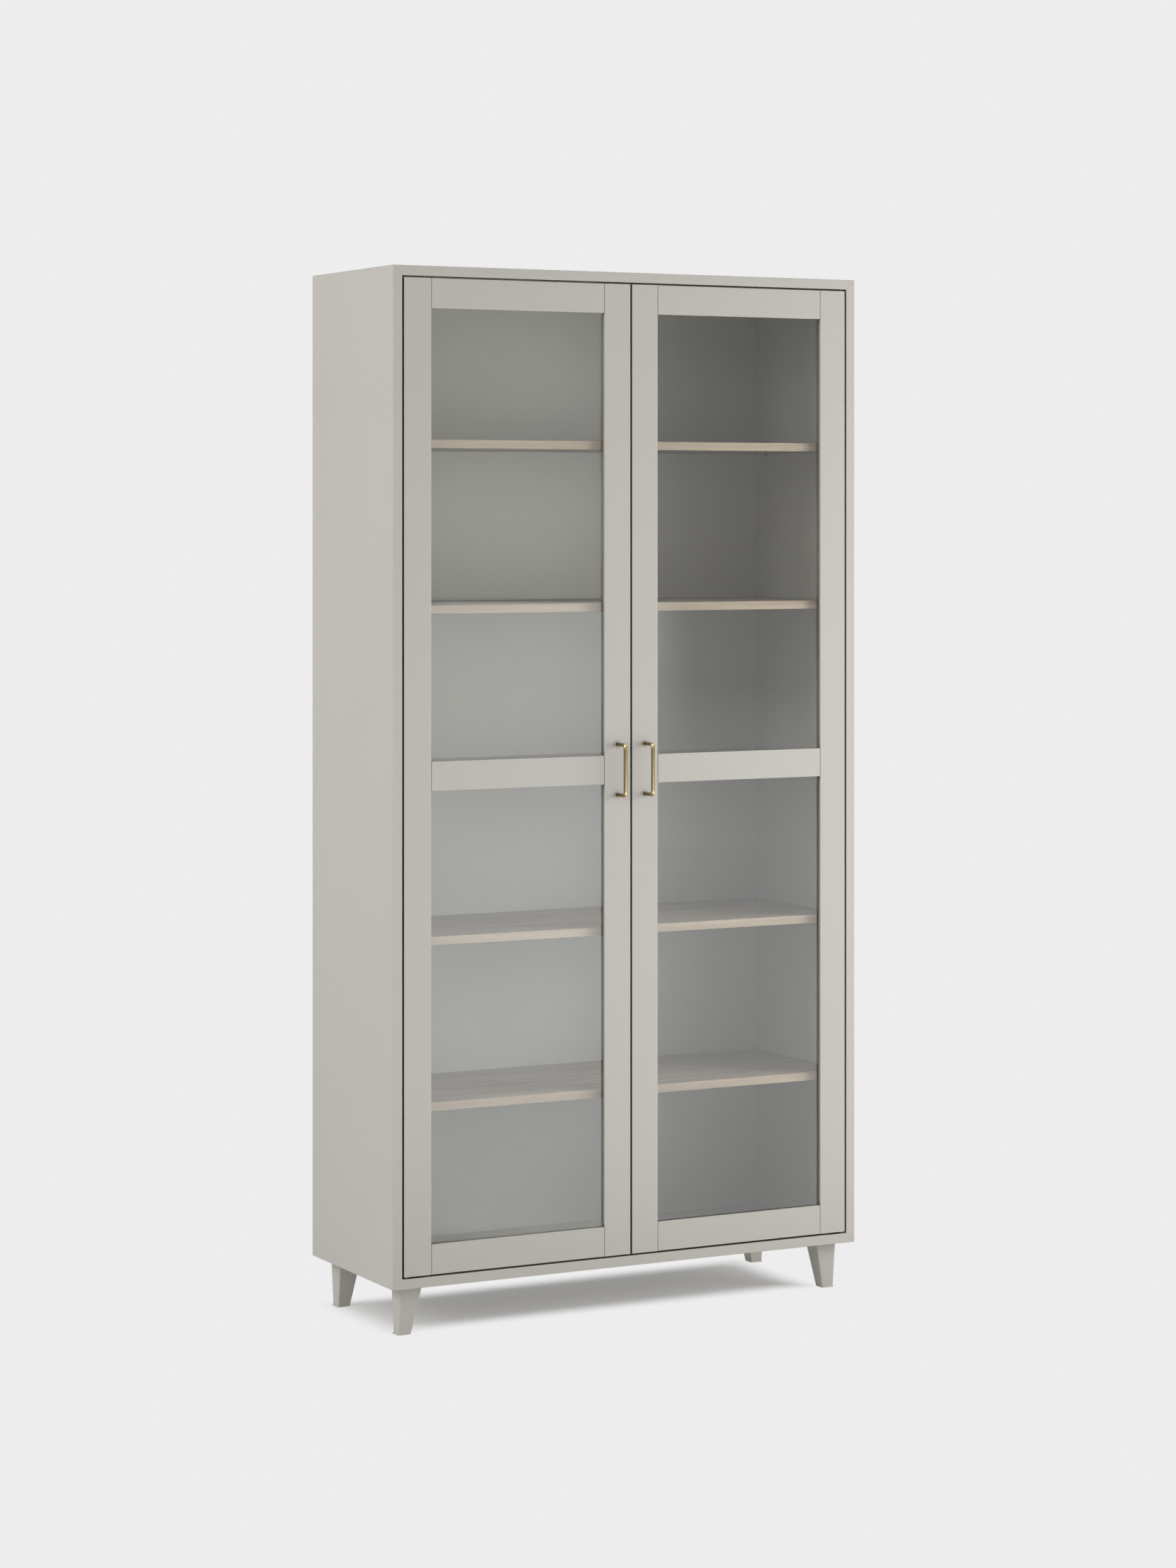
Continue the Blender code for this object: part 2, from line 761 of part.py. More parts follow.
# Twin magnetic catch under the top, one pole for each door
def make_catch(plastic, top):
    roof = carcass_top - board - seat_gap
    half = catch_width / 2
    ear = half + catch_ear
    front = door_back_y + catch_strike_space
    outline = [
        (-half, roof - catch_height),
        (half, roof - catch_height),
        (half, roof - catch_ear_thickness),
        (ear, roof - catch_ear_thickness),
        (ear, roof),
        (-ear, roof),
        (-ear, roof - catch_ear_thickness),
        (-half, roof - catch_ear_thickness),
    ]
    ease = board_ease
    section = eased(outline, (ease, ease, 0, ease, 0, 0, ease, 0))
    catch = make_object("magnet_catch", prism(section, "Y", front, front + catch_depth), plastic)
    pole_middle = roof - catch_height * catch_pole_below_top_share
    pole_low = pole_middle - catch_pole_height / 2
    pole_high = pole_middle + catch_pole_height / 2
    poles = []
    for side in (-1, 1):
        pole_start = side * half / 2 - catch_pole_width / 2
        pole_end = pole_start + catch_pole_width
        poles.append(
            block(
                (pole_start, front - catch_pole_proud, pole_low),
                (pole_end, front + overrun, pole_high),
            )
        )
    work(catch, "UNION", poles)
    middle_y = front + catch_depth / 2
    steps = (
        (roof - catch_ear_thickness - overrun, catch_ear_hole_radius),
        (roof + overrun, catch_ear_hole_radius),
    )
    holes = [
        upright_turning(side * (half + catch_ear / 2), middle_y, steps, small_round_sides)
        for side in (-1, 1)
    ]
    work(catch, "DIFFERENCE", holes)


def build():
    for old in list(bpy.data.objects):
        bpy.data.objects.remove(old, do_unlink=True)
    paint = finish("satin_lacquer", (0.50, 0.47, 0.43), 0.45)
    wood = finish("light_oak_veneer", (0.55, 0.43, 0.33), 0.5)
    glass = finish("float_glass", (0.80, 0.84, 0.82), 0.05, alpha=0.3)
    steel = finish("zinc_plated_steel", (0.56, 0.56, 0.58), 0.35, metallic=1.0)
    brass = finish("brushed_brass", (0.62, 0.45, 0.20), 0.3, metallic=1.0)
    plastic = finish("grey_plastic", (0.45, 0.44, 0.42), 0.5)
    bottom, top, left, right = make_carcass(paint)
    make_legs(paint, bottom)
    make_shelves(wood, steel, left, right)
    make_catch(plastic, top)
    for side, label in ((-1, "left_door"), (1, "right_door")):
        make_door(side, label, paint, glass, steel, brass, top, bottom)


build()
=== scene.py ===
from math import atan2, cos, pi, radians, sin

import bmesh
import bpy
from mathutils import Matrix, Vector


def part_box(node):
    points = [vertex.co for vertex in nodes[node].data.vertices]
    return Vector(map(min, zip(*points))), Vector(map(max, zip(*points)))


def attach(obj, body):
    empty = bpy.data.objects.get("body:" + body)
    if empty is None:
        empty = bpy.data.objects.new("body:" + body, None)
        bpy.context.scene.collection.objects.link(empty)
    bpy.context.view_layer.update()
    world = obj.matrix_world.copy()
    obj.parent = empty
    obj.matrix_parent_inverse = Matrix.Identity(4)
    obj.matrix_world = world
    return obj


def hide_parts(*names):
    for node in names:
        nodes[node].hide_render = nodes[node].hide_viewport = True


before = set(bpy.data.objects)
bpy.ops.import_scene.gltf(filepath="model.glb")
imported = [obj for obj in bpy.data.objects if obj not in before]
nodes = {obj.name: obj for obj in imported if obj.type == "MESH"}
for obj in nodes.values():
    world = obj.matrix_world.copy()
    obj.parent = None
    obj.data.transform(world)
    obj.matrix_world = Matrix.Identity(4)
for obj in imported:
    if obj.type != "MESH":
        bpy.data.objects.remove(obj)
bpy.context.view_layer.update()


# Carcass
# Four 19 mm boards, mitred at the corners, and a thin back in a groove, sprayed with a warm
# grey satin lacquer. It is even in colour and pebbled like the skin of an orange. Painted shade
# darkens it deep in corners, gaps and joints. The wood's pores barely show under it, and are
# drawn wider than life.
lacquer_hex = "BBB7B0"
lacquer_cloud_hex = "B7B3AC"
lacquer_cloud_mm = 260.0
lacquer_roughness = (0.40, 0.50)
lacquer_specular = 0.4
lacquer_relief = 0.6
peel_mm = 1.6
peel_depth_mm = 0.02
pore_width_mm = 0.7
pore_length_mm = 35.0
pore_depth_mm = 0.012
# Painted shade: where ambient occlusion within this reach finds a crevice, the lacquer darkens
# towards this colour.
crevice_shade_hex = "443F39"
crevice_shade_reach_mm = 9.0
crevice_shade_samples = 8
corner_openness = (0.03, 0.4)
gap_openness = (0.25, 0.52)


def linear(colour):
    """An sRGB hex colour as linear red, green, blue and alpha."""
    parts = [int(colour[place:place + 2], 16) / 255 for place in (0, 2, 4)]
    bright = [c / 12.92 if c <= 0.04045 else ((c + 0.055) / 1.055) ** 2.4 for c in parts]
    return (*bright, 1.0)


def connect(node, inputs):
    """Give a node its inputs, as values or as sockets to link."""
    for name, value in inputs.items():
        if isinstance(value, bpy.types.NodeSocket):
            node.id_data.links.new(value, node.inputs[name])
        else:
            node.inputs[name].default_value = value


def add(tree, kind, inputs, **settings):
    """One node, with its settings and its inputs."""
    node = tree.nodes.new(kind)
    for name, value in settings.items():
        setattr(node, name, value)
    connect(node, inputs)
    return node


def per_metre(size_mm):
    """A noise scale whose features are about this size."""
    return 1000.0 / size_mm


def new_material(name):
    """A material with its Principled node, and the piece's own coordinates."""
    material = bpy.data.materials.new(name)
    material.use_nodes = True
    tree = material.node_tree
    shader = tree.nodes["Principled BSDF"]
    place = add(tree, "ShaderNodeTexCoord", {}).outputs["Object"]
    return material, tree, shader, place


def satin_lacquer(name, grain, openness):
    """Lacquer over pores along one axis; painted shade, dark to full colour over this openness.
    """
    material, tree, shader, place = new_material(name)
    cloud = add(
        tree, "ShaderNodeTexNoise",
        {"Vector": place, "Scale": per_metre(lacquer_cloud_mm), "Detail": 2.0},
    ).outputs["Fac"]
    colour = add(
        tree, "ShaderNodeMix",
        {"Factor": cloud, "A": linear(lacquer_hex), "B": linear(lacquer_cloud_hex)},
        data_type="RGBA",
    ).outputs["Result"]
    # Painted shade in corners, gaps and joints, from ambient occlusion.
    light = add(
        tree, "ShaderNodeAmbientOcclusion", {"Distance": crevice_shade_reach_mm / 1000},
        samples=crevice_shade_samples,
    ).outputs["AO"]
    light = add(
        tree, "ShaderNodeMapRange",
        {"Value": light, "From Min": openness[0], "From Max": openness[1]},
    ).outputs["Result"]
    colour = add(
        tree, "ShaderNodeMix",
        {"Factor": light, "A": linear(crevice_shade_hex), "B": colour},
        data_type="RGBA",
    ).outputs["Result"]
    peel = add(
        tree, "ShaderNodeTexNoise",
        {"Vector": place, "Scale": per_metre(peel_mm), "Detail": 1.0, "Roughness": 0.4},
    ).outputs["Fac"]
    gloss = add(
        tree, "ShaderNodeMapRange",
        {"Value": peel, "To Min": lacquer_roughness[0], "To Max": lacquer_roughness[1]},
    ).outputs["Result"]
    stretch = [pore_width_mm / pore_length_mm if axis == grain else 1.0 for axis in "XYZ"]
    along = add(tree, "ShaderNodeMapping", {"Vector": place, "Scale": stretch}).outputs["Vector"]
    pores = add(
        tree, "ShaderNodeTexNoise",
        {"Vector": along, "Scale": per_metre(pore_width_mm), "Detail": 2.0, "Roughness": 0.6},
    ).outputs["Fac"]
    pored = add(
        tree, "ShaderNodeBump",
        {"Height": pores, "Strength": lacquer_relief, "Distance": pore_depth_mm / 1000},
    ).outputs["Normal"]
    pebbled = add(
        tree, "ShaderNodeBump",
        {"Height": peel, "Strength": lacquer_relief, "Distance": peel_depth_mm / 1000,
         "Normal": pored},
    ).outputs["Normal"]
    connect(shader, {
        "Base Color": colour, "Roughness": gloss, "Specular IOR Level": lacquer_specular,
        "Normal": pebbled,
    })
    return material


def dress(material, *names):
    """Give CAD nodes their finish."""
    for name in names:
        for slot in nodes[name].material_slots:
            slot.material = material


lacquer_upright = satin_lacquer("satin_lacquer_grain_upright", "Z", corner_openness)
lacquer_level = satin_lacquer("satin_lacquer_grain_level", "X", corner_openness)
# The side boards take stronger painted shade where they face the door gaps.
lacquer_side = satin_lacquer("satin_lacquer_grain_upright_painted_gap_shade", "Z", gap_openness)
dress(lacquer_side, "left_side", "right_side")
dress(lacquer_upright, "back_panel")
dress(lacquer_level, "top_panel", "bottom_panel")

# Mitre glue lines
# The lacquer runs over the thin line of glue in each corner's mitre, so that the corner
# reads as one surface with a hairline in it. Each line is a strip that lies in the joint,
# a little below the surface, with its long edges broken.
line_thickness = 0.0002
line_edge = line_thickness / 4
line_below_surface = 0.00012


def deselect():
    """Object mode, with nothing selected."""
    if bpy.context.object and bpy.context.object.mode != "OBJECT":
        bpy.ops.object.mode_set(mode="OBJECT")
    bpy.ops.object.select_all(action="DESELECT")


def pick(kind, test):
    """In edit mode, select the edges or faces that pass a test, and nothing else."""
    bpy.ops.mesh.select_mode(type=kind)
    bpy.ops.mesh.select_all(action="DESELECT")
    data = bpy.context.edit_object.data
    mesh = bmesh.from_edit_mesh(data)
    items = {"EDGE": mesh.edges, "FACE": mesh.faces}[kind]
    for item in items:
        if test(item):
            item.select_set(True)
    mesh.select_flush_mode()
    bmesh.update_edit_mesh(data)


def start_box(name, low, high):
    """A block between two corners, in edit mode, to be shaped further."""
    deselect()
    low, high = Vector(low), Vector(high)
    bpy.ops.mesh.primitive_cube_add(size=1.0, location=(low + high) / 2)
    piece = bpy.context.object
    piece.name = name
    piece.scale = high - low
    bpy.ops.object.transform_apply(location=True, rotation=True, scale=True)
    bpy.ops.object.mode_set(mode="EDIT")
    return piece


def close_edit():
    """Leave edit mode with every face pointing out."""
    merge_within = 0.000001
    bpy.ops.mesh.select_all(action="SELECT")
    bpy.ops.mesh.remove_doubles(threshold=merge_within)
    bpy.ops.mesh.normals_make_consistent(inside=False)
    bpy.ops.mesh.select_all(action="DESELECT")
    bpy.ops.object.mode_set(mode="OBJECT")


def copy_of(model, placing):
    """A copy of a model with its own mesh, which a matrix moves into place."""
    copy = model.copy()
    copy.data = model.data.copy()
    copy.data.transform(placing)
    bpy.context.scene.collection.objects.link(copy)
    return copy


def put_away(*models):
    """Remove models whose copies are all made."""
    for model in models:
        bpy.data.objects.remove(model, do_unlink=True)


def join(name, pieces):
    """Several loose pieces as one object."""
    deselect()
    for piece in pieces:
        piece.select_set(True)
    bpy.context.view_layer.objects.active = pieces[0]
    bpy.ops.object.join()
    whole = bpy.context.object
    whole.name = name
    whole.data.name = name
    return whole


def settle(piece, material, body):
    """The finish and the body of a finished piece."""
    piece.data.materials.clear()
    piece.data.materials.append(material)
    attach(piece, body)
    return piece


carcass_low, board_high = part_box("left_side")
_, carcass_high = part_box("right_side")
board_thickness = board_high.x - carcass_low.x
mitre_length = board_thickness * 2 ** 0.5
strip = start_box(
    "mitre_line",
    (line_below_surface, carcass_low.y + line_below_surface, -line_thickness / 2),
    (mitre_length - line_below_surface, carcass_high.y - line_below_surface, line_thickness / 2),
)
pick("EDGE", lambda e: abs(e.verts[0].co.y - e.verts[1].co.y) > board_thickness)
bpy.ops.mesh.bevel(offset=line_edge, segments=1)
close_edit()
lines = []
for x, out_x in ((carcass_low.x, -1), (carcass_high.x, 1)):
    for z, out_z in ((carcass_low.z, -1), (carcass_high.z, 1)):
        inward = Matrix.Rotation(atan2(out_z, -out_x), 4, "Y")
        lines.append(copy_of(strip, Matrix.Translation((x, 0, z)) @ inward))
put_away(strip)
settle(join("mitre_glue_lines", lines), lacquer_level, "carcass")

# Legs
# Four tapered legs of solid wood in the same lacquer, each on a hanger bolt in the
# carcass's bottom. Each one's outer side stands upright and the other three taper in.
for end in ("front", "rear"):
    for side in ("left", "right"):
        dress(lacquer_upright, f"leg_{end}_{side}")

# Shelves
# Light oak veneer on board, with a strip of solid oak along the front edge, under a matt
# lacquer. Pale and darker bands run along the grain, with dark pores drawn wider than life.
# The veneer is greyer and darker than the strip, leaf by leaf, partly its own tone and partly
# painted shade. Faces that point down are darkest, from painted shade.
oak_pale_hex = "BDA994"
oak_dark_hex = "A9917A"
oak_pore_hex = "7A6752"
oak_band_mm = 14.0
oak_band_length_mm = 420.0
oak_band_noise = (0.3, 0.7)
oak_pore_mm = 0.5
oak_pore_length_mm = 9.0
oak_pore_noise = (0.62, 0.72)
oak_pore_colour_share = 0.45
oak_strip = 0.003
oak_strip_slip = (0.31, 0.0, 0.07)
oak_strip_value = 0.79
oak_leaf_mm = 145.0
# Painted shade in part: these values also darken the veneer's faces, the shelf tops among them.
oak_leaf_values = (0.67, 0.75)
oak_leaf_saturation = 0.78
# Painted shade: the undersides are darkened to this value.
oak_under_shade_value = 0.5
oak_facing_down = -0.5
oak_roughness = (0.46, 0.62)
oak_relief = 0.7
oak_relief_mm = 0.03


def matt_oak(name, front):
    """Oak veneer with its grain along X, and a strip of solid oak behind this front edge."""
    material, tree, shader, place = new_material(name)
    depth = add(tree, "ShaderNodeSeparateXYZ", {"Vector": place}).outputs["Y"]
    solid = add(
        tree, "ShaderNodeMath", {0: depth, 1: front + oak_strip}, operation="LESS_THAN"
    ).outputs["Value"]
    slip = add(
        tree, "ShaderNodeVectorMath", {0: oak_strip_slip, "Scale": solid}, operation="SCALE"
    ).outputs["Vector"]
    slipped = add(
        tree, "ShaderNodeVectorMath", {0: place, 1: slip}, operation="ADD"
    ).outputs["Vector"]
    along = add(
        tree, "ShaderNodeMapping",
        {"Vector": slipped, "Scale": (oak_band_mm / oak_band_length_mm, 1.0, 1.0)},
    ).outputs["Vector"]
    band = add(
        tree, "ShaderNodeTexNoise",
        {"Vector": along, "Scale": per_metre(oak_band_mm), "Detail": 5.0, "Roughness": 0.62,
         "Distortion": 0.6},
    ).outputs["Fac"]
    band = add(
        tree, "ShaderNodeMapRange",
        {"Value": band, "From Min": oak_band_noise[0], "From Max": oak_band_noise[1]},
        interpolation_type="SMOOTHSTEP",
    ).outputs["Result"]
    colour = add(
        tree, "ShaderNodeMix",
        {"Factor": band, "A": linear(oak_dark_hex), "B": linear(oak_pale_hex)},
        data_type="RGBA",
    ).outputs["Result"]
    across = add(
        tree, "ShaderNodeMapping", {"Vector": place, "Scale": (0.0, 1.0, 0.0)}
    ).outputs["Vector"]
    leaf = add(
        tree, "ShaderNodeTexVoronoi", {"Vector": across, "Scale": per_metre(oak_leaf_mm)}
    ).outputs["Color"]
    leaf = add(tree, "ShaderNodeSeparateColor", {"Color": leaf}).outputs["Red"]
    value = add(
        tree, "ShaderNodeMapRange",
        {"Value": leaf, "To Min": oak_leaf_values[0], "To Max": oak_leaf_values[1]},
    ).outputs["Result"]
    # Painted shade under the shelves: faces that point down take the lower value.
    facing = add(
        tree, "ShaderNodeSeparateXYZ", {"Vector": place.node.outputs["Normal"]}
    ).outputs["Z"]
    under = add(
        tree, "ShaderNodeMath", {0: facing, 1: oak_facing_down}, operation="LESS_THAN"
    ).outputs["Value"]
    value = add(
        tree, "ShaderNodeMix", {"Factor": under, "A": value, "B": oak_under_shade_value}
    ).outputs["Result"]
    value = add(
        tree, "ShaderNodeMix", {"Factor": solid, "A": value, "B": oak_strip_value}
    ).outputs["Result"]
    saturation = add(
        tree, "ShaderNodeMix", {"Factor": solid, "A": oak_leaf_saturation, "B": 1.0}
    ).outputs["Result"]
    colour = add(
        tree, "ShaderNodeHueSaturation",
        {"Color": colour, "Saturation": saturation, "Value": value},
    ).outputs["Color"]
    along = add(
        tree, "ShaderNodeMapping",
        {"Vector": slipped, "Scale": (oak_pore_mm / oak_pore_length_mm, 1.0, 1.0)},
    ).outputs["Vector"]
    pore = add(
        tree, "ShaderNodeTexNoise",
        {"Vector": along, "Scale": per_metre(oak_pore_mm), "Detail": 1.0},
    ).outputs["Fac"]
    pore = add(
        tree, "ShaderNodeMapRange",
        {"Value": pore, "From Min": oak_pore_noise[0], "From Max": oak_pore_noise[1]},
    ).outputs["Result"]
    stain = add(
        tree, "ShaderNodeMath", {0: pore, 1: oak_pore_colour_share}, operation="MULTIPLY"
    ).outputs["Value"]
    colour = add(
        tree, "ShaderNodeMix", {"Factor": stain, "A": colour, "B": linear(oak_pore_hex)},
        data_type="RGBA",
    ).outputs["Result"]
    gloss = add(
        tree, "ShaderNodeMapRange",
        {"Value": band, "To Min": oak_roughness[1], "To Max": oak_roughness[0]},
    ).outputs["Result"]
    pitted = add(
        tree, "ShaderNodeBump",
        {"Height": pore, "Strength": oak_relief, "Distance": oak_relief_mm / 1000},
        invert=True,
    ).outputs["Normal"]
    connect(shader, {"Base Color": colour, "Roughness": gloss, "Normal": pitted})
    return material


oak = matt_oak("light_oak_veneer_matt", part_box("shelf_top")[0].y)
dress(oak, "shelf_top", "shelf_upper", "shelf_middle_fixed", "shelf_lower", "shelf_lowest")

# Shelf pins
# Turned steel pegs, zinc plated. Zinc plate is a cool, slightly uneven grey with soft
# reflections, clouded where the bath has left its crystals, with fine scratches that are
# drawn wider than life.
zinc_hex = "C6C8CA"
zinc_dull_hex = "A9ABAE"
zinc_crystal_mm = 2.5
zinc_scratch_mm = 0.35
zinc_roughness = (0.26, 0.42)
zinc_relief = 0.3
zinc_relief_mm = 0.02


def zinc_plate(name, bright_hex, dull_hex):
    """Plated steel that shades from a bright to a dull colour."""
    material, tree, shader, place = new_material(name)
    crystal = add(
        tree, "ShaderNodeTexVoronoi", {"Vector": place, "Scale": per_metre(zinc_crystal_mm)}
    ).outputs["Distance"]
    scratch = add(
        tree, "ShaderNodeTexNoise",
        {"Vector": place, "Scale": per_metre(zinc_scratch_mm), "Detail": 3.0},
    ).outputs["Fac"]
    cloud = add(
        tree, "ShaderNodeMath", {0: crystal, 1: scratch}, operation="MULTIPLY"
    ).outputs["Value"]
    colour = add(
        tree, "ShaderNodeMix",
        {"Factor": cloud, "A": linear(bright_hex), "B": linear(dull_hex)},
        data_type="RGBA",
    ).outputs["Result"]
    gloss = add(
        tree, "ShaderNodeMapRange",
        {"Value": scratch, "To Min": zinc_roughness[0], "To Max": zinc_roughness[1]},
    ).outputs["Result"]
    scratched = add(
        tree, "ShaderNodeBump",
        {"Height": scratch, "Strength": zinc_relief, "Distance": zinc_relief_mm / 1000},
    ).outputs["Normal"]
    connect(shader, {
        "Base Color": colour, "Metallic": 1.0, "Roughness": gloss, "Normal": scratched,
    })
    return material


zinc = zinc_plate("zinc_plated_steel", zinc_hex, zinc_dull_hex)
dress(zinc, *(name for name in nodes if name.startswith("pin_")))

# Door frames
# Stiles and rails of solid wood, tenoned and glued, in the same satin lacquer. The fine
# line where a rail's shoulder meets a stile stays open in the paint, and strong painted shade
# makes it and the frame's other crevices look dark.
# Painted shade: crevices darken towards the shade colour over this wide openness.
groove_openness = (0.3, 0.97)
lacquer_stile = satin_lacquer("satin_lacquer_grain_upright_painted_joint_shade", "Z", groove_openness)
lacquer_rail = satin_lacquer("satin_lacquer_grain_level_painted_joint_shade", "X", groove_openness)
for side in ("left", "right"):
    dress(lacquer_stile, f"{side}_door_hinge_stile", f"{side}_door_meeting_stile")
    for level in ("bottom", "middle", "top"):
        dress(lacquer_rail, f"{side}_door_{level}_rail")

# Panes
# Clear float glass, 4 mm thick, with ground edges. It is a little green from the iron in
# it, and bends and mirrors light like any soda-lime glass. Lamps shine straight through,
# tinted by it.
glass_hex = "F5F7F5"
glass_ior = 1.52


def float_glass(name):
    """Glass that lets the light of lamps pass without bending it."""
    material, tree, shader, place = new_material(name)
    tree.nodes.remove(place.node)
    connect(shader, {
        "Base Color": linear(glass_hex), "Roughness": 0.0, "IOR": glass_ior,
        "Transmission Weight": 1.0,
    })
    from_lamp = add(tree, "ShaderNodeLightPath", {}).outputs["Is Shadow Ray"]
    clear = add(
        tree, "ShaderNodeBsdfTransparent", {"Color": linear(glass_hex)}
    ).outputs["BSDF"]
    pane = add(
        tree, "ShaderNodeMixShader", {0: from_lamp, 1: shader.outputs["BSDF"], 2: clear}
    ).outputs["Shader"]
    connect(tree.nodes["Material Output"], {"Surface": pane})
    return material


glass = float_glass("clear_float_glass")
for side in ("left", "right"):
    dress(glass, f"{side}_door_upper_glass", f"{side}_door_lower_glass")

# Glazing beads
# Four lengths of lacquered beading hold each pane from behind, mitred at the corners and
# pinned with fine brads. Their backs are splayed down to a thin nose against the glass.
bead_width = 0.0079
bead_nose = 0.0006
bead_crest = 0.0031
bead_ease = 0.0003
bead_ease_steps = 3
bead_mitre_gap = 0.0003
brad_radius = 0.0006
brad_sides = 10
brad_top_share = 0.8
brad_proud = 0.00012
brad_spacing = 0.12
brad_from_corner = 0.03


def bead_length(length, depth):
    """A length that lies along X on its outer face, its back towards +Y, mitred both ends."""
    piece = start_box("bead", (0, 0, 0), (length, depth, bead_width))
    bpy.ops.mesh.select_all(action="SELECT")
    bpy.ops.mesh.bisect(plane_co=(0, bead_nose, 0), plane_no=(0, 1, 0))
    near = bead_nose / 2
    pick("EDGE", lambda e: all(
        v.co.y > depth - near and v.co.z > bead_width - near for v in e.verts
    ))
    bpy.ops.transform.translate(value=(0, 0, bead_crest - bead_width))
    pick("EDGE", lambda e: abs(e.verts[0].co.x - e.verts[1].co.x) > length / 2 and all(
        v.co.y > near and v.co.z > near for v in e.verts
    ))
    bpy.ops.mesh.bevel(offset=bead_ease, segments=bead_ease_steps)
    for end, out in ((bead_mitre_gap / 2, -1), (length - bead_mitre_gap / 2, 1)):
        bpy.ops.mesh.select_all(action="SELECT")
        bpy.ops.mesh.bisect(
            plane_co=(end, 0, 0), plane_no=(out, 0, 1), use_fill=True, clear_outer=True
        )
    close_edit()
    return piece


low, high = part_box("left_door_lower_bead")
bead_depth = high.y - low.y
run, fall = bead_depth - bead_nose, bead_width - bead_crest
on_splay = Matrix.Translation((0, bead_nose + run / 2, bead_crest + fall / 2))
deselect()
bpy.ops.mesh.primitive_circle_add(vertices=brad_sides, radius=brad_radius, fill_type="NGON")
brad = bpy.context.object
bpy.ops.object.mode_set(mode="EDIT")
bpy.ops.mesh.select_all(action="SELECT")
bpy.ops.mesh.extrude_region_move(TRANSFORM_OT_translate={"value": (0, 0, brad_proud)})
bpy.ops.transform.resize(value=(brad_top_share, brad_top_share, 1), center_override=(0, 0, 0))
close_edit()
brad.data.transform(on_splay @ Matrix.Rotation(-atan2(fall, run), 4, "X"))

bead_models = {}
for side in ("left", "right"):
    for pane in ("lower", "upper"):
        ring = f"{side}_door_{pane}_bead"
        low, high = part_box(ring)
        corners = (
            (low.x, low.z, high.x - low.x, 0),
            (high.x, low.z, high.z - low.z, -pi / 2),
            (high.x, high.z, high.x - low.x, pi),
            (low.x, high.z, high.z - low.z, pi / 2),
        )
        lengths, heads = [], []
        for x, z, length, turn in corners:
            size = f"{length:.4f}"
            if size not in bead_models:
                bead_models[size] = bead_length(length, bead_depth)
            place = Matrix.Translation((x, low.y, z)) @ Matrix.Rotation(turn, 4, "Y")
            lengths.append(copy_of(bead_models[size], place))
            pinned = length - 2 * brad_from_corner
            spaces = max(round(pinned / brad_spacing), 1)
            for count in range(spaces + 1):
                along = brad_from_corner + pinned * count / spaces
                heads.append(copy_of(brad, place @ Matrix.Translation((along, 0, 0))))
        beads = settle(
            join(f"{ring}_lengths", lengths), lacquer_level, f"{side}_door"
        )
        beads.data.materials.append(lacquer_upright)
        for face in beads.data.polygons:
            upright = min(face.center.x - low.x, high.x - face.center.x) < bead_width
            inside = low.z + bead_width < face.center.z < high.z - bead_width
            face.material_index = 1 if upright and inside else 0
        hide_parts(ring)
        settle(join(f"{ring}_brads", heads), zinc, f"{side}_door")
put_away(brad, *bead_models.values())

# Pivot hinges
# A knife hinge at the top and bottom of each door: a leaf let into the door's end, and a
# leaf with the pin and washer let into the carcass. Pressed steel whose zinc is passivated
# black, so that nothing shines in the gap, held by cross-recessed screws of the same kind.
black_zinc_hex = "4B4A48"
black_zinc_dull_hex = "36353A"
hinge_screw_radius = 0.0025
hinge_screw_head = 0.0007
hinge_screw_shank = 0.0012
hinge_screw_length = 0.0024
hinge_screw_shares = (0.45, 0.85)
leaf_reach = 0.02852
screw_rim_share = 0.35
screw_dome_steps = 4
screw_turn_steps = 24
screw_sharp_turn = 30
recess_share = 0.62
recess_width_share = 0.2
recess_floor_share = 0.3


def screw(name, radius, head, shank, length):
    """A turned screw on the Z axis, its head above the origin, with a cross recess."""
    deselect()
    profile = [(0.0, -length), (shank, -length), (shank, 0.0), (radius, 0.0)]
    for step in range(screw_dome_steps):
        turn = pi / 2 * step / screw_dome_steps
        rise = screw_rim_share + (1 - screw_rim_share) * sin(turn)
        profile.append((radius * cos(turn), head * rise))
    profile.append((0.0, head))
    data = bpy.data.meshes.new(name)
    edges = [(i, i + 1) for i in range(len(profile) - 1)]
    data.from_pydata([(r, 0, z) for r, z in profile], edges, [])
    piece = bpy.data.objects.new(name, data)
    bpy.context.scene.collection.objects.link(piece)
    bpy.context.view_layer.objects.active = piece
    piece.select_set(True)
    bpy.ops.object.mode_set(mode="EDIT")
    bpy.ops.mesh.select_mode(type="EDGE")
    bpy.ops.mesh.select_all(action="SELECT")
    bpy.ops.mesh.spin(
        steps=screw_turn_steps, angle=2 * pi, center=(0, 0, 0), axis=(0, 0, 1)
    )
    close_edit()
    arm, width = radius * recess_share, radius * recess_width_share
    floor = head * recess_floor_share
    for x, y in ((arm, width), (width, arm)):
        cutter = start_box("recess", (-x, -y, floor), (x, y, 2 * head))
        bpy.ops.object.mode_set(mode="OBJECT")
        deselect()
        bpy.context.view_layer.objects.active = piece
        piece.select_set(True)
        cut = piece.modifiers.new("recess", "BOOLEAN")
        cut.object = cutter
        cut.operation = "DIFFERENCE"
        cut.solver = "EXACT"
        bpy.ops.object.modifier_apply(modifier=cut.name)
        put_away(cutter)
    bpy.ops.object.shade_smooth_by_angle(angle=radians(screw_sharp_turn))
    return piece


def screwed(name, model, places):
    """Copies of a screw, at points with the way their heads face, as one object."""
    copies = []
    for point, facing in places:
        turn = Vector((0, 0, 1)).rotation_difference(Vector(facing)).to_matrix().to_4x4()
        copies.append(copy_of(model, Matrix.Translation(point) @ turn))
    return join(name, copies)


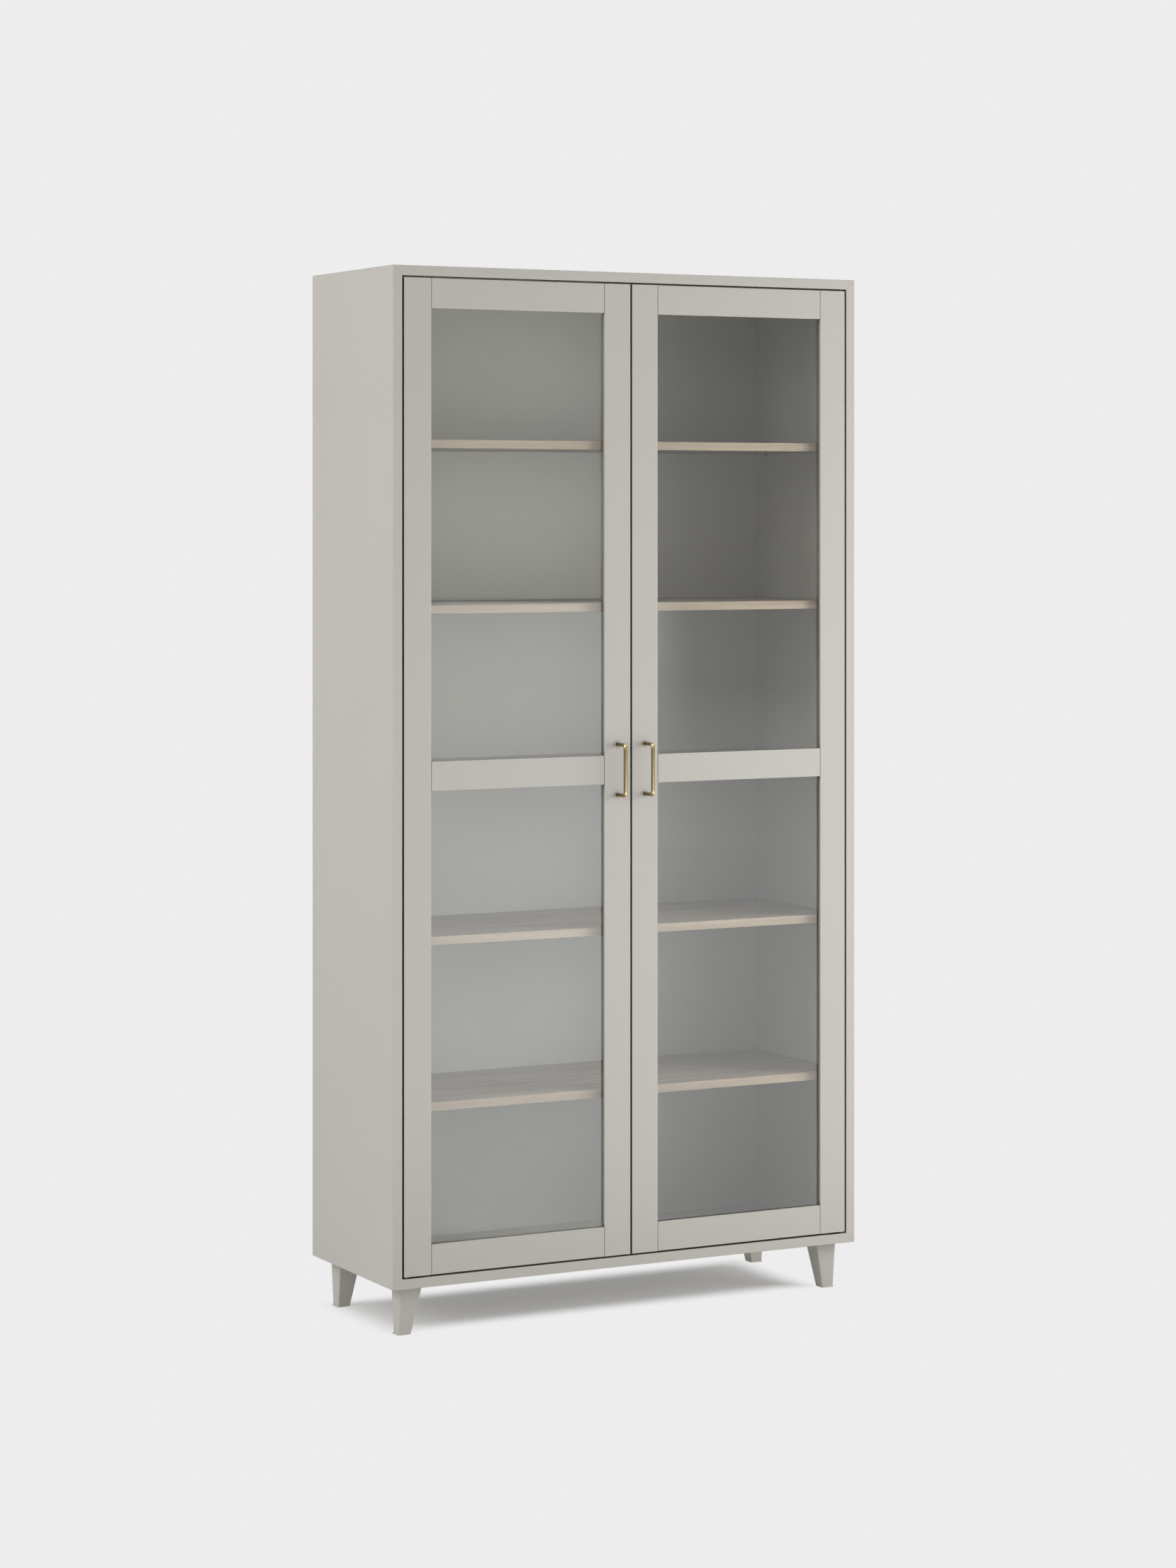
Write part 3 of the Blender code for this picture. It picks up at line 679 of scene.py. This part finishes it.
black_zinc = zinc_plate("black_passivated_zinc", black_zinc_hex, black_zinc_dull_hex)
hinge_screw = screw(
    "hinge_screw", hinge_screw_radius, hinge_screw_head, hinge_screw_shank, hinge_screw_length
)
plate_faces = {"top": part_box("top_panel")[0].z, "bottom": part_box("bottom_panel")[1].z}
plate_places = []
for side, inward in (("left", 1), ("right", -1)):
    leaf_places = []
    for end, out in (("top", 1), ("bottom", -1)):
        leaf, plate = f"{side}_door_{end}_hinge_leaf", f"{side}_door_{end}_pivot_plate"
        dress(black_zinc, leaf, plate)
        low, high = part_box(leaf)
        half = (high.y - low.y) / 2
        y = low.y + half
        pivot = low.x + half if inward > 0 else high.x - half
        leaf_face = high.z if out > 0 else low.z
        for share in hinge_screw_shares:
            x = pivot + inward * leaf_reach * share
            leaf_places.append(((x, y, leaf_face), (0, 0, out)))
            plate_places.append(((x, y, plate_faces[end]), (0, 0, -out)))
    settle(
        screwed(f"{side}_door_hinge_screws", hinge_screw, leaf_places),
        black_zinc, f"{side}_door",
    )
settle(
    screwed("pivot_plate_screws", hinge_screw, plate_places),
    black_zinc, "carcass",
)
put_away(hinge_screw)

# Handles
# A 7 mm brass rod on each meeting stile, bent square at both ends and brushed along its
# length in lines drawn wider than life. The bends carry a painted highlight, a brighter
# colour than the rest, and the ends that stand off the stile are painted darker, as painted
# shade. A machine screw from the back of the stile goes into each end.
brass_hex = "988965"
brass_deep_hex = "7F7050"
# Painted shade: the ends' colours are darker than the grip's.
brass_end_shade_hex = "94804E"
brass_end_deep_shade_hex = "71603A"
# Painted highlight: the bends' brighter colours.
brass_highlight_hex = "B5A077"
brass_highlight_deep_hex = "A08C63"
brass_roughness = (0.16, 0.27)
brush_width_mm = 0.25
brush_length_mm = 12.0
brush_depth_mm = 0.01
brush_relief = 0.4
highlight_fade = 0.003
rod_radius = 0.0035
rod_sides = 32
rod_bend = 0.006
rod_bend_steps = 10
rod_end_ease = rod_radius / 20
rod_sharp_turn = 35
rod_seat_gap = 0.0003
handle_spacing = 0.096
handle_screw_radius = 0.004
handle_screw_head = 0.0022
handle_screw_shank = 0.002
handle_screw_length = 0.0195


def brushed_brass(name, grain, bright_hex, deep_hex, middle, plain, highlight_full):
    """Brass brushed along one axis, with a painted highlight over this way from its middle."""
    material, tree, shader, place = new_material(name)
    from_middle = add(tree, "ShaderNodeSeparateXYZ", {"Vector": place}).outputs[grain]
    from_middle = add(
        tree, "ShaderNodeMath", {0: from_middle, 1: middle}, operation="SUBTRACT"
    ).outputs["Value"]
    from_middle = add(
        tree, "ShaderNodeMath", {0: from_middle}, operation="ABSOLUTE"
    ).outputs["Value"]
    highlight = add(
        tree, "ShaderNodeMapRange",
        {"Value": from_middle, "From Min": plain, "From Max": highlight_full},
        interpolation_type="SMOOTHSTEP",
    ).outputs["Result"]
    stretch = [brush_width_mm / brush_length_mm if axis == grain else 1.0 for axis in "XYZ"]
    along = add(tree, "ShaderNodeMapping", {"Vector": place, "Scale": stretch}).outputs["Vector"]
    brush = add(
        tree, "ShaderNodeTexNoise",
        {"Vector": along, "Scale": per_metre(brush_width_mm), "Detail": 3.0, "Roughness": 0.7},
    ).outputs["Fac"]
    dull = add(
        tree, "ShaderNodeMix",
        {"Factor": brush, "A": linear(bright_hex), "B": linear(deep_hex)},
        data_type="RGBA",
    ).outputs["Result"]
    # Painted highlight on the bends.
    highlight_colour = add(
        tree, "ShaderNodeMix",
        {"Factor": brush, "A": linear(brass_highlight_hex), "B": linear(brass_highlight_deep_hex)},
        data_type="RGBA",
    ).outputs["Result"]
    colour = add(
        tree, "ShaderNodeMix", {"Factor": highlight, "A": dull, "B": highlight_colour}, data_type="RGBA"
    ).outputs["Result"]
    gloss = add(
        tree, "ShaderNodeMapRange",
        {"Value": brush, "To Min": brass_roughness[0], "To Max": brass_roughness[1]},
    ).outputs["Result"]
    brushed = add(
        tree, "ShaderNodeBump",
        {"Height": brush, "Strength": brush_relief, "Distance": brush_depth_mm / 1000},
    ).outputs["Normal"]
    connect(shader, {
        "Base Color": colour, "Metallic": 1.0, "Roughness": gloss, "Normal": brushed,
    })
    return material


low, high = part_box("left_door_handle")
stile_low, stile_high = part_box("left_door_meeting_stile")
middle_z = (low.z + high.z) / 2
bottom_z, top_z = middle_z - handle_spacing / 2, middle_z + handle_spacing / 2
straight = handle_spacing / 2 - rod_bend
grip_y = low.y + rod_radius
bend_y = grip_y + rod_bend
foot_y = stile_low.y - rod_seat_gap
back_y = stile_high.y + rod_seat_gap
brass_upright = brushed_brass(
    "brushed_brass_along_the_grip", "Z", brass_hex, brass_deep_hex,
    middle_z, straight - highlight_fade, straight,
)
brass_out = brushed_brass(
    "brushed_brass_along_the_ends", "Y", brass_end_shade_hex, brass_end_deep_shade_hex,
    grip_y, rod_bend + highlight_fade, rod_bend,
)
deselect()
bpy.ops.mesh.primitive_circle_add(
    vertices=rod_sides, radius=rod_radius, location=(0, foot_y, bottom_z),
    rotation=(pi / 2, 0, 0),
)
rod_model = bpy.context.object
bpy.ops.object.transform_apply(location=True, rotation=True, scale=True)
bpy.ops.object.mode_set(mode="EDIT")
bpy.ops.mesh.select_mode(type="EDGE")
bpy.ops.mesh.select_all(action="SELECT")
for move, bend_z in (
    ((0, bend_y - foot_y, 0), bottom_z + rod_bend),
    ((0, 0, 2 * straight), top_z - rod_bend),
):
    bpy.ops.mesh.extrude_region_move(TRANSFORM_OT_translate={"value": move})
    bpy.ops.mesh.spin(
        steps=rod_bend_steps, angle=pi / 2, center=(0, bend_y, bend_z), axis=(1, 0, 0)
    )
bpy.ops.mesh.extrude_region_move(TRANSFORM_OT_translate={"value": (0, foot_y - bend_y, 0)})
pick("EDGE", lambda e: e.is_boundary)
bpy.ops.mesh.edge_face_add()
pick("FACE", lambda f: len(f.verts) > 4)
bpy.ops.mesh.inset(thickness=rod_end_ease)
close_edit()
bpy.ops.object.shade_smooth_by_angle(angle=radians(rod_sharp_turn))
handle_screw = screw(
    "handle_screw", handle_screw_radius, handle_screw_head, handle_screw_shank,
    handle_screw_length,
)
for side in ("left", "right"):
    low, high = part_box(f"{side}_door_handle")
    x = (low.x + high.x) / 2
    rod = copy_of(rod_model, Matrix.Translation((x, 0, 0)))
    rod.name = f"{side}_door_handle_rod"
    settle(rod, brass_upright, f"{side}_door")
    rod.data.materials.append(brass_out)
    for face in rod.data.polygons:
        if face.center.y > bend_y:
            face.material_index = 1
    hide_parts(f"{side}_door_handle")
    screws = screwed(
        f"{side}_door_handle_screws", handle_screw,
        [((x, back_y, z), (0, 1, 0)) for z in (bottom_z, top_z)],
    )
    settle(screws, zinc, f"{side}_door")
put_away(rod_model, handle_screw)

# Magnetic catch
# A grey ABS housing, moulded with a fine grain that is drawn coarser than life, and
# screwed up under the top by its two ears. In its front stand the bare steel poles of two
# magnets, one for each door.
plastic_hex = "A9A7A2"
plastic_grain_mm = 0.5
plastic_roughness = (0.42, 0.55)
plastic_relief = 0.5
plastic_relief_mm = 0.03
pole_proud = 0.0006
catch_ear = 0.010
catch_ear_thickness = 0.0025
catch_screw_radius = 0.0034
catch_screw_head = 0.0018
catch_screw_shank = 0.0017
catch_screw_length = 0.0024


def moulded_plastic(name, front):
    """Grained ABS, with the steel of the poles in front of its face."""
    material, tree, shader, place = new_material(name)
    depth = add(tree, "ShaderNodeSeparateXYZ", {"Vector": place}).outputs["Y"]
    steel = add(
        tree, "ShaderNodeMath", {0: depth, 1: front}, operation="LESS_THAN"
    ).outputs["Value"]
    grain = add(
        tree, "ShaderNodeTexNoise",
        {"Vector": place, "Scale": per_metre(plastic_grain_mm), "Detail": 2.0},
    ).outputs["Fac"]
    colour = add(
        tree, "ShaderNodeMix",
        {"Factor": steel, "A": linear(plastic_hex), "B": linear(zinc_hex)},
        data_type="RGBA",
    ).outputs["Result"]
    gloss = add(
        tree, "ShaderNodeMapRange",
        {"Value": grain, "To Min": plastic_roughness[0], "To Max": plastic_roughness[1]},
    ).outputs["Result"]
    grained = add(
        tree, "ShaderNodeBump",
        {"Height": grain, "Strength": plastic_relief, "Distance": plastic_relief_mm / 1000},
    ).outputs["Normal"]
    connect(shader, {
        "Base Color": colour, "Metallic": steel, "Roughness": gloss, "Normal": grained,
    })
    return material


low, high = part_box("magnet_catch")
dress(moulded_plastic("moulded_abs_with_steel_poles", low.y + pole_proud / 2), "magnet_catch")
catch_screw = screw(
    "catch_screw", catch_screw_radius, catch_screw_head, catch_screw_shank, catch_screw_length
)
y = (low.y + pole_proud + high.y) / 2
ear_face = high.z - catch_ear_thickness
ear_places = [
    ((x, y, ear_face), (0, 0, -1)) for x in (low.x + catch_ear / 2, high.x - catch_ear / 2)
]
settle(
    screwed("catch_screws", catch_screw, ear_places), zinc, "carcass"
)
put_away(catch_screw)

# Strike plates
# A zinc-plated steel plate on the back of each meeting stile, for the catch's magnets. It
# has rounded corners and an eased face, and is held by two flat screws.
strike_width = 0.030
strike_height = 0.010
strike_thickness = 0.0009
strike_corner = 0.002
strike_corner_steps = 5
strike_ease = strike_thickness / 5
strike_ease_steps = 2
facing_back = 0.9
strike_sharp_turn = 35
strike_gap = 0.0001
strike_inset = 0.00325
strike_below_top = 0.0015
strike_screw_radius = 0.0018
strike_screw_head = 0.0001
strike_screw_shank = 0.0009
strike_screw_length = 0.00004
strike_screw_gap = 0.00005
strike_screw_spacing = 0.022

plate_model = start_box(
    "strike", (-strike_width / 2, 0, -strike_height / 2),
    (strike_width / 2, strike_thickness, strike_height / 2),
)
pick("EDGE", lambda e: abs(e.verts[0].co.y - e.verts[1].co.y) > strike_thickness / 2)
bpy.ops.mesh.bevel(offset=strike_corner, segments=strike_corner_steps)
pick("FACE", lambda f: f.normal.y > facing_back)
bpy.ops.mesh.bevel(offset=strike_ease, segments=strike_ease_steps)
close_edit()
bpy.ops.object.shade_smooth_by_angle(angle=radians(strike_sharp_turn))
strike_screw = screw(
    "strike_screw", strike_screw_radius, strike_screw_head, strike_screw_shank,
    strike_screw_length,
)
for side, inward in (("left", -1), ("right", 1)):
    low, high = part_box(f"{side}_door_meeting_stile")
    free_x = high.x if side == "left" else low.x
    x = free_x + inward * (strike_inset + strike_width / 2)
    y = high.y + strike_gap
    z = high.z - strike_below_top - strike_height / 2
    plate = copy_of(plate_model, Matrix.Translation((x, y, z)))
    plate.name = f"{side}_door_strike_plate"
    settle(plate, zinc, f"{side}_door")
    face_y = y + strike_thickness + strike_screw_gap
    screws = screwed(
        f"{side}_door_strike_screws", strike_screw,
        [((x + aside * strike_screw_spacing / 2, face_y, z), (0, 1, 0)) for aside in (-1, 1)],
    )
    settle(screws, zinc, f"{side}_door")
put_away(plate_model, strike_screw)

# Floor
# White studio paper. Seen directly it shows the background's own white, so that no line
# divides the two. Only in a soft-edged patch under the cabinet does its real shade come
# through. Light that has bounced meets the plain paper.
background_hex = "EDEDED"
floor_hex = "F2F2F2"
floor_roughness = 0.9
floor_radius = 60.0
floor_sides = 128
shade_edge = 0.012
shade_depth = 0.1
shade_white = 0.21
shade_shift = (-0.022, 0.02)
before_a_bounce = 0.5

deselect()
bpy.ops.mesh.primitive_circle_add(
    vertices=floor_sides, radius=floor_radius, fill_type="NGON"
)
floor = bpy.context.object
floor.name = "floor"
paper, tree, shader, place = new_material("white_studio_floor")
connect(shader, {
    "Base Color": linear(floor_hex), "Roughness": floor_roughness, "Specular IOR Level": 0.0,
})
low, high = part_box("bottom_panel")
centre, half = (low + high) / 2, (high - low) / 2
offset = add(
    tree, "ShaderNodeVectorMath",
    {0: place, 1: (centre.x + shade_shift[0], centre.y + shade_shift[1], 0)},
    operation="SUBTRACT",
).outputs["Vector"]
offset = add(
    tree, "ShaderNodeVectorMath", {0: offset}, operation="ABSOLUTE"
).outputs["Vector"]
inside = add(
    tree, "ShaderNodeVectorMath", {0: (half.x, half.y, 0), 1: offset}, operation="SUBTRACT"
).outputs["Vector"]
inside = add(tree, "ShaderNodeSeparateXYZ", {"Vector": inside})
depth_in = add(
    tree, "ShaderNodeMath", {0: inside.outputs["X"], 1: inside.outputs["Y"], 2: shade_depth / 2},
    operation="SMOOTH_MIN",
).outputs["Value"]
white_share = add(
    tree, "ShaderNodeMapRange",
    {"Value": depth_in, "From Min": shade_edge, "From Max": shade_depth,
     "To Min": 1.0, "To Max": shade_white},
    interpolation_type="SMOOTHSTEP",
).outputs["Result"]
bounces = add(tree, "ShaderNodeLightPath", {}).outputs["Diffuse Depth"]
seen = add(
    tree, "ShaderNodeMath", {0: bounces, 1: before_a_bounce}, operation="LESS_THAN"
).outputs["Value"]
white_share = add(
    tree, "ShaderNodeMath", {0: white_share, 1: seen}, operation="MULTIPLY"
).outputs["Value"]
white = add(tree, "ShaderNodeEmission", {"Color": linear(background_hex)}).outputs["Emission"]
ground = add(
    tree, "ShaderNodeMixShader", {0: white_share, 1: shader.outputs["BSDF"], 2: white}
).outputs["Shader"]
connect(tree.nodes["Material Output"], {"Surface": ground})
floor.data.materials.append(paper)

# Room
# An even white room lights the cabinet, and the camera sees plain white behind it. What
# the panes and the brass mirror is a wall of light in front, stronger on its left, between
# dim sides and under a bright ceiling.
room_light = 0.42
left_share = 1.5
wall_turn = 28.3
wall_height = 4
wall_inner = 26
wall_outer = 60
wall_blend = 0.012
wall_foot = 0.028
wall_top = 0.047
wall_high_share = 0.8
dim_share = 0.35
ceiling_rise = (0.45, 0.75)
ceiling_level = 3.0


def way(turn, height):
    """A direction turned from the cabinet's front towards its right, and raised."""
    a, e = radians(turn), radians(height)
    return Vector((sin(a) * cos(e), -cos(a) * cos(e), sin(e)))


world = bpy.data.worlds.new("studio")
world.use_nodes = True
bpy.context.scene.world = world
tree = world.node_tree
towards = add(tree, "ShaderNodeTexCoord", {}).outputs["Generated"]
facing = add(
    tree, "ShaderNodeVectorMath", {0: towards, 1: way(wall_turn, wall_height)},
    operation="DOT_PRODUCT",
).outputs["Value"]
wall = add(
    tree, "ShaderNodeMapRange",
    {"Value": facing, "From Min": cos(radians(wall_outer)), "From Max": cos(radians(wall_inner)),
     "To Min": dim_share, "To Max": 1.0},
    interpolation_type="SMOOTHSTEP",
).outputs["Result"]
rightward = add(
    tree, "ShaderNodeVectorMath", {0: towards, 1: way(wall_turn + 90, 0)},
    operation="DOT_PRODUCT",
).outputs["Value"]
across = add(
    tree, "ShaderNodeMapRange",
    {"Value": rightward, "From Min": -wall_blend, "From Max": wall_blend,
     "To Min": left_share, "To Max": 1.0},
    interpolation_type="SMOOTHSTEP",
).outputs["Result"]
upward = add(tree, "ShaderNodeSeparateXYZ", {"Vector": towards}).outputs["Z"]
above = add(
    tree, "ShaderNodeMapRange",
    {"Value": upward, "From Min": wall_foot, "From Max": wall_top, "To Min": 1.0,
     "To Max": wall_high_share},
    interpolation_type="SMOOTHSTEP",
).outputs["Result"]
for share in (across, above):
    wall = add(
        tree, "ShaderNodeMath", {0: wall, 1: share}, operation="MULTIPLY"
    ).outputs["Value"]
ceiling = add(
    tree, "ShaderNodeMapRange",
    {"Value": upward, "From Min": ceiling_rise[0], "From Max": ceiling_rise[1], "To Min": 0.0,
     "To Max": ceiling_level},
    interpolation_type="SMOOTHSTEP",
).outputs["Result"]
mirrored = add(tree, "ShaderNodeMath", {0: wall, 1: ceiling}, operation="ADD").outputs["Value"]
ray = add(tree, "ShaderNodeLightPath", {})
level = add(
    tree, "ShaderNodeMix", {"Factor": ray.outputs["Is Glossy Ray"], "A": 1.0, "B": mirrored}
).outputs["Result"]
white = add(
    tree, "ShaderNodeBackground", {"Color": linear(background_hex), "Strength": level}
).outputs["Background"]
seen = add(
    tree, "ShaderNodeMath", {0: ray.outputs["Diffuse Depth"], 1: before_a_bounce},
    operation="LESS_THAN",
).outputs["Value"]
room = tree.nodes["Background"]
connect(room, {"Color": (1, 1, 1, 1), "Strength": room_light})
both = add(
    tree, "ShaderNodeMixShader", {0: seen, 1: room.outputs["Background"], 2: white}
).outputs["Shader"]
connect(tree.nodes["World Output"], {"Surface": both})

# Lamps
# A soft box at the front right, which reflections don't see, and a broader one that lights
# the cabinet's left side. Each white says how bright a white card at the cabinet's middle
# would be in that lamp's light alone.
key_white = 0.60
key_size = 1.6
key_distance = 3.0
key_turn = 52
key_height = 8
fill_white = 0.47
fill_size = 2.0
fill_distance = 4.0
fill_turn = -82
fill_height = 22
aim_height = 1.0


def lamp(name, place, turned, **settings):
    """An area lamp at a place, turned from facing down, with its settings."""
    light = bpy.data.lights.new(name, "AREA")
    for setting, value in settings.items():
        setattr(light, setting, value)
    piece = bpy.data.objects.new(name, light)
    piece.location = place
    piece.rotation_euler = turned
    bpy.context.scene.collection.objects.link(piece)
    return piece


def soft_box(name, towards, distance, size, white):
    """A square lamp aimed at the cabinet's middle, where it lights a white card this white."""
    return lamp(
        name, Vector((0, 0, aim_height)) + towards * distance,
        towards.to_track_quat("Z", "Y").to_euler(),
        size=size, energy=white * pi ** 2 * distance ** 2,
    )


key = soft_box("key", way(key_turn, key_height), key_distance, key_size, key_white)
key.visible_glossy = False
soft_box("fill", way(fill_turn, fill_height), fill_distance, fill_size, fill_white)

# Low light
# A long, slightly cool light that lies on the floor and shines up, where the panes mirror
# it. Only reflections see it. Its left half is stronger than its right, it fades with the
# distance, and its sides and its near end are soft.
low_hex = "FAFDFF"
low_radiance = 2.33
low_width = 8.0
low_length = 56.0
low_start = 0.5
low_aside = -0.5
low_turn = 29
low_above_floor = 0.004
low_sides = (0.5175, 0.6075)
low_near_share = 0.75
low_near_end = 0.06
low_fade = (0.18, 0.45)
low_far_shares = (0.75, 0.28)
low_soft_side = 0.12
low_soft_start = 0.007

out = way(low_turn, 0)
low_light = lamp(
    "low",
    out * (low_start + low_length / 2) + way(low_turn + 90, 0) * low_aside
    + Vector((0, carcass_low.y, low_above_floor)),
    (pi, 0, radians(low_turn)),
    shape="RECTANGLE", size=low_width, size_y=low_length, color=linear(low_hex)[:3],
    energy=low_radiance * pi * low_width * low_length,
)
low_light.visible_camera = False
low_light.visible_diffuse = False
low_light.visible_transmission = False
low_light.data.use_nodes = True
tree = low_light.data.node_tree
over = add(tree, "ShaderNodeNewGeometry", {}).outputs["Parametric"]
over = add(tree, "ShaderNodeSeparateXYZ", {"Vector": over})
over_x, over_y = over.outputs["X"], over.outputs["Y"]
side = add(
    tree, "ShaderNodeMapRange",
    {"Value": over_x, "From Min": low_sides[0], "From Max": low_sides[1]},
    interpolation_type="SMOOTHSTEP",
).outputs["Result"]
across = add(
    tree, "ShaderNodeMix", {"Factor": side, "A": left_share, "B": 1.0}
).outputs["Result"]
far_share = add(
    tree, "ShaderNodeMix", {"Factor": side, "A": low_far_shares[0], "B": low_far_shares[1]}
).outputs["Result"]
far = add(
    tree, "ShaderNodeMapRange",
    {"Value": over_y, "From Min": low_fade[0], "From Max": low_fade[1], "To Min": 1.0,
     "To Max": far_share},
).outputs["Result"]
near = add(
    tree, "ShaderNodeMapRange",
    {"Value": over_y, "From Max": low_near_end, "To Min": low_near_share, "To Max": 1.0},
    interpolation_type="SMOOTHSTEP",
).outputs["Result"]
other_side = add(
    tree, "ShaderNodeMath", {0: 1.0, 1: over_x}, operation="SUBTRACT"
).outputs["Value"]
from_side = add(
    tree, "ShaderNodeMath", {0: over_x, 1: other_side}, operation="MINIMUM"
).outputs["Value"]
soft_sides = add(
    tree, "ShaderNodeMapRange", {"Value": from_side, "From Max": low_soft_side},
    interpolation_type="SMOOTHSTEP",
).outputs["Result"]
soft_start = add(
    tree, "ShaderNodeMapRange", {"Value": over_y, "From Max": low_soft_start},
    interpolation_type="SMOOTHSTEP",
).outputs["Result"]
level = across
for share in (far, near, soft_sides, soft_start):
    level = add(
        tree, "ShaderNodeMath", {0: level, 1: share}, operation="MULTIPLY"
    ).outputs["Value"]
connect(tree.nodes["Emission"], {"Strength": level})

# Camera
# A long lens, level, 1.53 m above the floor and to the cabinet's left, shifted down so
# that the cabinet's upright edges stay upright.
photo_height_px = 2212
horizon_px = 723.4
lens_mm = 85.4
sensor_mm = 36.0
camera_place = (-3.37385, -6.41909, 1.52938)
camera_turn = 27.693

camera_data = bpy.data.cameras.new("camera")
camera_data.lens = lens_mm
camera_data.sensor_width = sensor_mm
camera_data.shift_y = (horizon_px - photo_height_px / 2) / photo_height_px
camera = bpy.data.objects.new("camera", camera_data)
camera.location = camera_place
camera.rotation_euler = (pi / 2, 0, radians(-camera_turn))
bpy.context.scene.collection.objects.link(camera)
bpy.context.scene.camera = camera
bpy.context.scene.view_settings.view_transform = "Standard"

# Bring the scene up to date
bpy.context.view_layer.update()
